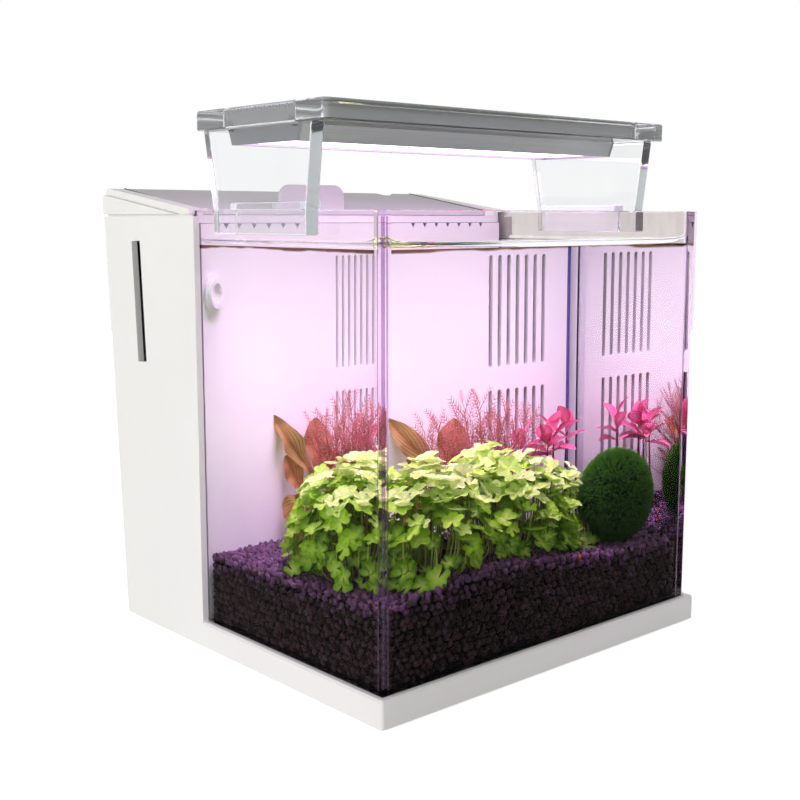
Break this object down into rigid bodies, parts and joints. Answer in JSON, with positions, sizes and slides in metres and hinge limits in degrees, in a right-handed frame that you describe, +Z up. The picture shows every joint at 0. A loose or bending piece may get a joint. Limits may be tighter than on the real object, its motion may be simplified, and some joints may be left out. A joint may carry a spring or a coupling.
{
  "type": "glass aquarium tank",
  "caption": "Small cube-shaped glass aquarium in a white base with a rear filter casing, hinged hood lid and a clear lift-off lamp bridge over planted soil.",
  "frame": {"origin": "centre of the footprint, on the plane of the feet", "axes": "+X to the right, -Y is the front with the clear pane, +Z up"},
  "size_m": [0.258, 0.254, 0.2985],
  "materials": {
    "white_abs": "satin moulded ABS",
    "lid_abs": "satin moulded ABS",
    "partition_abs": "smooth white sheet",
    "clear_glass": "polished low-iron glass",
    "clear_acrylic": "polished clear acrylic",
    "silicone": "clear cured silicone",
    "foam": "closed-cell foam",
    "rubber_grey": "soft matt rubber",
    "led_aluminium": "satin anodised",
    "opal_diffuser": "opal acrylic, glowing when lit",
    "screw_steel": "plain",
    "board_white": "white solder mask",
    "led_phosphor": "resin",
    "pump_black": "moulded",
    "rotor_blue": "moulded",
    "ceramic_white": "unglazed",
    "pipe_plastic": "semi-clear",
    "sponge": "open-cell foam",
    "soil": "baked clay pellets",
    "leaf_green": "leafy",
    "leaf_red": "leafy",
    "leaf_pink": "leafy",
    "moss": "mossy"
  },
  "bodies": {
    "tank": {"tank_shell": "white_abs", "foam_mat": "foam", "rubber_feet": "rubber_grey", "glass_bottom": "clear_glass", "glass_front": "clear_glass", "glass_back": "clear_glass", "glass_left": "clear_glass", "glass_right": "clear_glass", "silicone_seams": "silicone", "filter_partition": "partition_abs", "outlet_nozzle": "partition_abs", "chamber_baffle_left": "partition_abs", "chamber_baffle_right": "partition_abs", "filter_sponge": "sponge", "media_basket": "partition_abs", "ceramic_rings": "ceramic_white", "pump_body": "pump_black", "pump_cover": "pump_black", "pump_shaft": "ceramic_white", "suction_cups": "rubber_grey", "delivery_pipe": "pipe_plastic", "hood_frame": "white_abs", "lid_hinge_pins": "screw_steel", "substrate_bed": "soil", "carpet_plant": "leaf_green", "red_leaf_plant": "leaf_red", "feather_plant": "leaf_pink", "pink_stem_plant": "leaf_pink", "moss_ball": "moss"},
    "lid": {"hood_lid": "lid_abs"},
    "lamp": {"lamp_plate": "clear_acrylic", "lamp_leg_left": "clear_acrylic", "lamp_leg_right": "clear_acrylic", "lamp_clip_left": "clear_acrylic", "lamp_clip_right": "clear_acrylic", "led_housing": "led_aluminium", "led_end_cap_left": "led_aluminium", "led_end_cap_right": "led_aluminium", "end_cap_screws": "screw_steel", "led_board": "board_white", "led_chips": "led_phosphor", "light_diffuser": "opal_diffuser", "lamp_cable_grommet": "rubber_grey"},
    "impeller": {"pump_impeller": "rotor_blue"}
  },
  "joints": [
    {"name": "lid_hinge", "type": "hinge", "parent": "tank", "child": "lid", "pos_m": [0, 0.1192, 0.2558], "axis": [-1, 0, 0], "range_deg": [0, 95]},
    {"name": "lamp_lift", "type": "slide", "parent": "tank", "child": "lamp", "axis": [0, 0, 1], "range_m": [0, 0.12]},
    {"name": "impeller_spin", "type": "hinge", "parent": "tank", "child": "impeller", "pos_m": [-0.091, 0.06, 0.0415], "axis": [0, 1, 0], "continuous": true}
  ]
}
